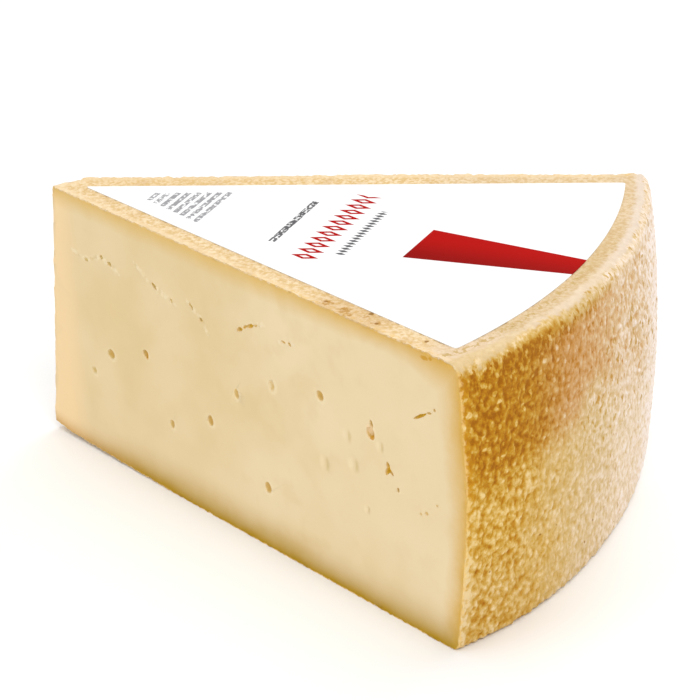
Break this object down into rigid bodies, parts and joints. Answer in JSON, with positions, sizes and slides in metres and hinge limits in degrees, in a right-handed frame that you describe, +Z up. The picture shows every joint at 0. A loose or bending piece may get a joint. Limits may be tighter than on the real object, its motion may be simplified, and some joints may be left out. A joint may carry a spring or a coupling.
{
  "type": "alpine cheese wedge",
  "caption": "Wedge of hard alpine cheese cut from a large wheel, with pale eyed paste, golden brushed rind and a white paper label on top.",
  "frame": {"origin": "on the surface that the wedge stands on, under the middle of its box", "axes": "+X from the cut tip along the middle of the wedge to the rind, +Y from the front cut face towards the back cut face, +Z up through the wheel's height"},
  "size_m": [0.26, 0.2052, 0.1176],
  "materials": {
    "cheese": "matt, pale butter-coloured paste with a golden, finely pebbled rind",
    "label_paper": "matt white coated paper with printed fields"
  },
  "bodies": {
    "root": {"cheese_wedge": "cheese", "label": "label_paper"}
  },
  "joints": []
}
